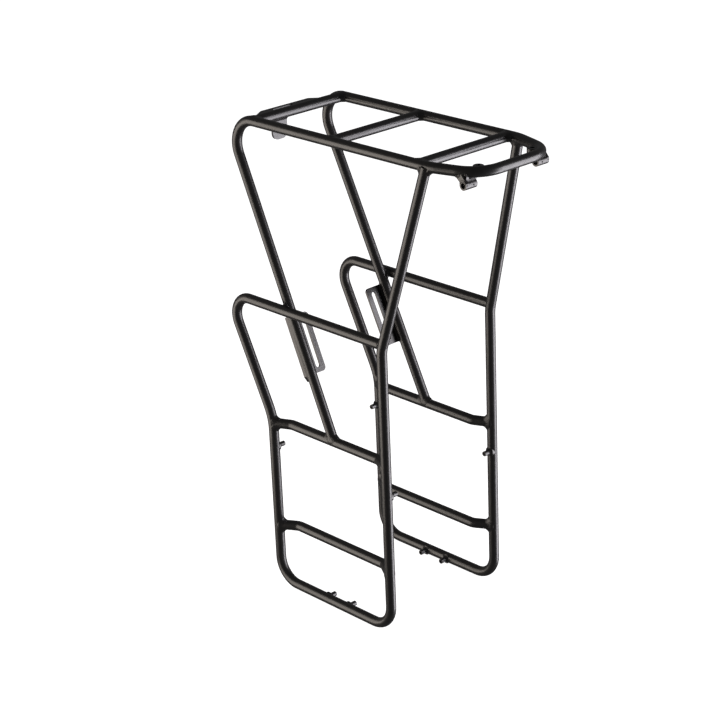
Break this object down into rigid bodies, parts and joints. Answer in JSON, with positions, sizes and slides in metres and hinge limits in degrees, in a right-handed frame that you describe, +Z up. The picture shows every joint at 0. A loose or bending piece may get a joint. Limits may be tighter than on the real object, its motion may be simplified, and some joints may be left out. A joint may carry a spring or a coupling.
{
  "type": "bicycle pannier rack",
  "caption": "Welded bent-tube bicycle pannier rack: a narrow deck on raked legs, deep side hoops with pannier rails, slotted brackets and screw bosses.",
  "frame": {"origin": "on the floor, under the middle of the rack's overall box", "axes": "+X forward along the deck, +Y to the rider's left, +Z up"},
  "size_m": [0.3781, 0.1828, 0.5715],
  "materials": {
    "black_powder_coat": "satin powder coat"
  },
  "bodies": {
    "root": {"deck_loop_tube": "black_powder_coat", "front_deck_crossbar": "black_powder_coat", "left_barrel_lug": "black_powder_coat", "left_floor_front_boss": "black_powder_coat", "left_floor_rear_boss": "black_powder_coat", "left_front_barrel": "black_powder_coat", "left_front_post": "black_powder_coat", "left_front_upright_boss": "black_powder_coat", "left_leg_bracket": "black_powder_coat", "left_lower_bar": "black_powder_coat", "left_rear_upright_boss": "black_powder_coat", "left_side_hoop": "black_powder_coat", "left_upper_bar": "black_powder_coat", "middle_deck_crossbar": "black_powder_coat", "rear_deck_crossbar": "black_powder_coat", "rear_hanging_tab": "black_powder_coat", "rear_light_plate": "black_powder_coat", "right_barrel_lug": "black_powder_coat", "right_floor_front_boss": "black_powder_coat", "right_floor_rear_boss": "black_powder_coat", "right_front_barrel": "black_powder_coat", "right_front_post": "black_powder_coat", "right_front_upright_boss": "black_powder_coat", "right_leg_bracket": "black_powder_coat", "right_lower_bar": "black_powder_coat", "right_rear_upright_boss": "black_powder_coat", "right_side_hoop": "black_powder_coat", "right_upper_bar": "black_powder_coat"}
  },
  "joints": []
}
